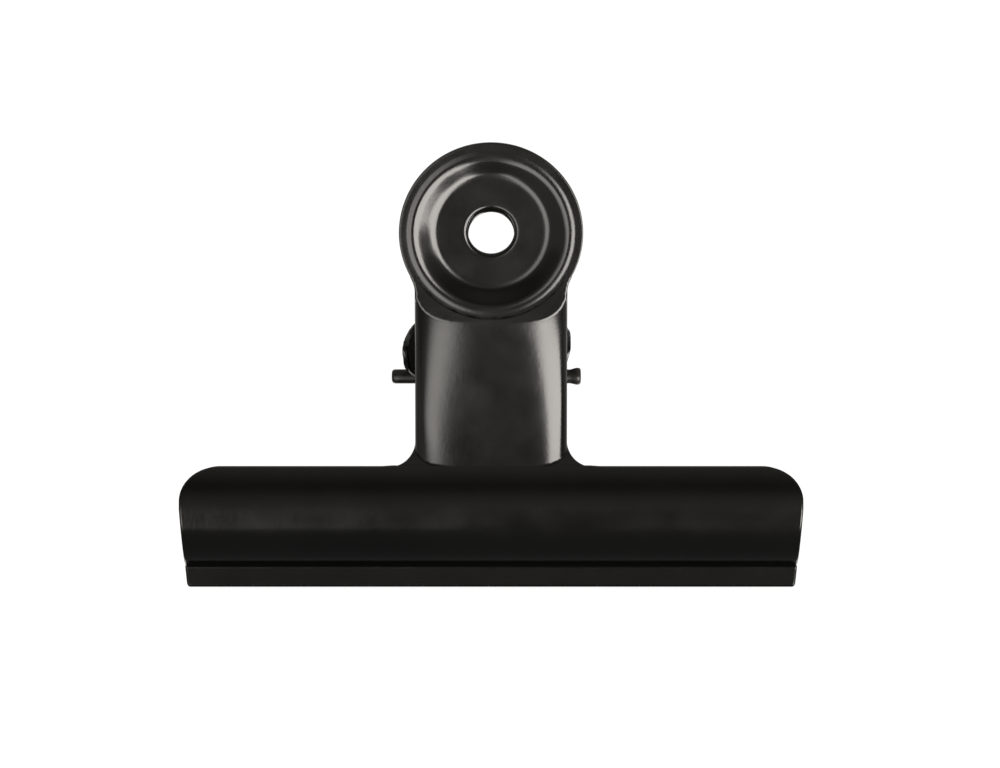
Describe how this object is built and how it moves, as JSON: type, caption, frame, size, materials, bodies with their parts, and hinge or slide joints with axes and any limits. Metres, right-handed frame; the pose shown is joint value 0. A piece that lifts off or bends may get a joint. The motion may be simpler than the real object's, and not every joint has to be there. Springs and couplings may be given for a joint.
{
  "type": "bulldog clip",
  "caption": "Sprung bulldog letter clip: wide rounded jaws meeting in a flat lip, arched necks and dished round thumb plates with a hanging hole, hinged on a headed pin",
  "frame": {"origin": "centre of the closed lips' lower edges, on the plane in which the two jaws meet", "axes": "+X along the jaws' width to the right as seen from the front jaw, +Y from the front jaw to the rear jaw, +Z from the lips up to the thumb plates"},
  "size_m": [0.075, 0.0336, 0.0533],
  "materials": {
    "black_enamel": "satin black stoving enamel on pressed sheet steel",
    "pin_steel": "black finished steel wire, ends a little worn",
    "spring_steel": "drawn spring wire, lightly oiled"
  },
  "bodies": {
    "rear": {"rear_jaw": "black_enamel", "hinge_pin": "pin_steel", "torsion_spring": "spring_steel"},
    "front": {"front_jaw": "black_enamel"}
  },
  "joints": [
    {"name": "jaw_hinge", "type": "hinge", "parent": "rear", "child": "front", "pos_m": [0, 0, 0.02538], "axis": [-1, 0, 0], "range_deg": [0, 34], "stiffness_Nm_per_rad": 0.15, "springref_deg": -114.59, "deforming": ["torsion_spring"]}
  ]
}
